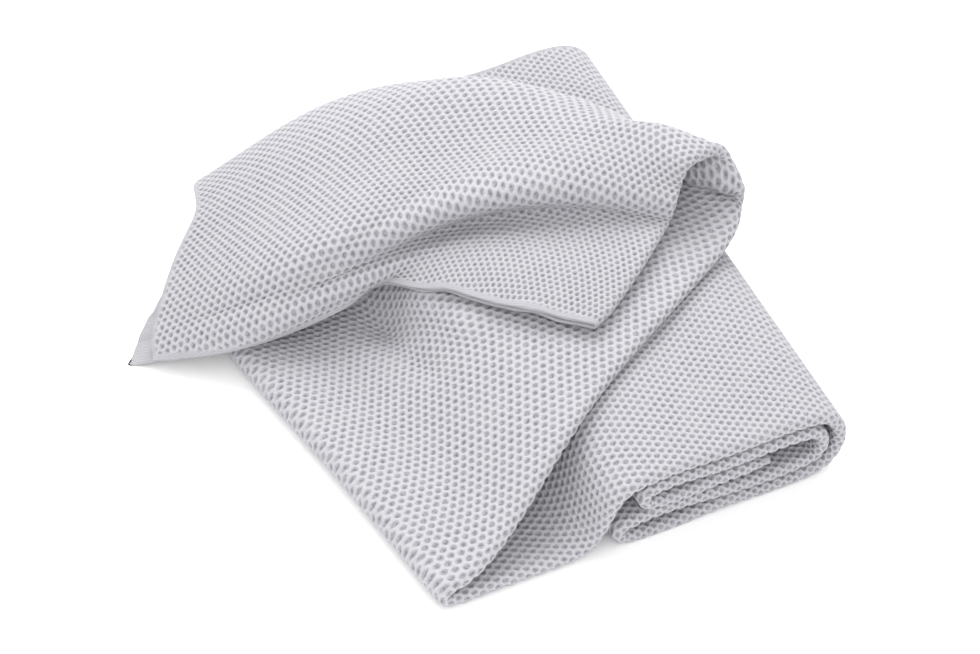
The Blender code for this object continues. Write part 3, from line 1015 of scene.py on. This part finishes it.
# The studio in metres: the floor, the lamps and what they point at; what the camera
# looks at is in the tables' millimetres
FLOOR_HALF = 3.0
FLOOR_DROP = 0.0002
Lamp = namedtuple("Lamp", "name place size watts")
LAMPS = (
    Lamp("overhead", (0.25, 0.9, 1.3), 1.2, 25),
    Lamp("fill", (-0.5, -1.3, 0.9), 1.6, 12),
)
LAMP_AIM = (0, 0, 0.03)
SKY_STRENGTH = 1.16
VIEW_AIM = (91.0, 141.9, 20.0)


class BLANKET_OT_stage(bpy.types.Operator):
    """Set the plain surface, the soft light and the camera."""
    bl_idname = "blanket.stage"
    bl_label = "Studio"

    def execute(self, context):
        scene, studio = context.scene, context.scene.blanket_studio
        mesh = bpy.data.meshes.new("surface")
        sides = ((-1, -1), (1, -1), (1, 1), (-1, 1))
        corners = [(x * FLOOR_HALF, y * FLOOR_HALF, -FLOOR_DROP) for x, y in sides]
        mesh.from_pydata(corners, [], [(0, 1, 2, 3)])
        floor = bpy.data.objects.new("surface", mesh)
        floor.data.materials.append(floor_finish(context))
        scene.collection.objects.link(floor)
        world = bpy.data.worlds.new("studio")
        world.use_nodes = True
        world.node_tree.nodes["Background"].inputs[0].default_value = (1, 1, 1, 1)
        world.node_tree.nodes["Background"].inputs[1].default_value = SKY_STRENGTH
        scene.world = world
        for lamp in LAMPS:
            light = bpy.data.lights.new(lamp.name, "AREA")
            light.shape = "DISK"
            light.size = lamp.size
            light.energy = lamp.watts
            stand = bpy.data.objects.new(lamp.name, light)
            stand.location = lamp.place
            aim = Vector(LAMP_AIM) - Vector(lamp.place)
            stand.rotation_euler = aim.to_track_quat("-Z", "Y").to_euler()
            scene.collection.objects.link(stand)
        turn, rise = studio.azimuth, studio.elevation
        back = Vector((np.sin(turn) * np.cos(rise), -np.cos(turn) * np.cos(rise), np.sin(rise)))
        target = Vector(place_points(VIEW_AIM))
        view = bpy.data.cameras.new("camera")
        view.lens = studio.lens
        view.sensor_width = 36
        view.clip_start = 0.01
        camera = bpy.data.objects.new("camera", view)
        camera.location = target + back * studio.distance
        camera.rotation_euler = back.to_track_quat("Z", "Y").to_euler()
        scene.collection.objects.link(camera)
        scene.camera = camera
        scene.view_settings.view_transform = "Standard"
        return {"FINISHED"}


class BLANKET_PT_sidebar(bpy.types.Panel):
    """The blanket's pieces and their sizes."""
    bl_label = "Folded blanket"
    bl_idname = "BLANKET_PT_sidebar"
    bl_space_type = "VIEW_3D"
    bl_region_type = "UI"
    bl_category = "Blanket"

    def draw(self, context):
        layout = self.layout
        for group in ("blanket_sizes", "blanket_colours", "blanket_studio"):
            values = getattr(context.scene, group)
            box = layout.box()
            for name in values.bl_rna.properties.keys():
                if name not in ("rna_type", "name"):
                    box.prop(values, name)
        for piece in OPERATORS:
            layout.operator(piece.bl_idname)


GROUPS = (
    ("blanket_sizes", ClothSizes),
    ("blanket_colours", KnitColours),
    ("blanket_studio", StudioSettings),
)
OPERATORS = (
    BLANKET_OT_stage,
    BLANKET_OT_stack,
    BLANKET_OT_panel,
    BLANKET_OT_cover,
    BLANKET_OT_roll,
    BLANKET_OT_hems,
)


def register():
    """Add the settings, the operators and the panel."""
    for name, group in GROUPS:
        bpy.utils.register_class(group)
        setattr(bpy.types.Scene, name, PointerProperty(type=group))
    for operator in OPERATORS:
        bpy.utils.register_class(operator)
    bpy.utils.register_class(BLANKET_PT_sidebar)


def unregister():
    """Take them away again."""
    bpy.utils.unregister_class(BLANKET_PT_sidebar)
    for operator in OPERATORS[::-1]:
        bpy.utils.unregister_class(operator)
    for name, group in GROUPS[::-1]:
        delattr(bpy.types.Scene, name)
        bpy.utils.unregister_class(group)


def main():
    """Build the blanket and its studio."""
    register()
    bpy.ops.blanket.stage()
    bpy.ops.blanket.stack()
    bpy.ops.blanket.panel()
    bpy.ops.blanket.cover()
    bpy.ops.blanket.roll()
    bpy.ops.blanket.hems()


if __name__ == "__main__":
    main()
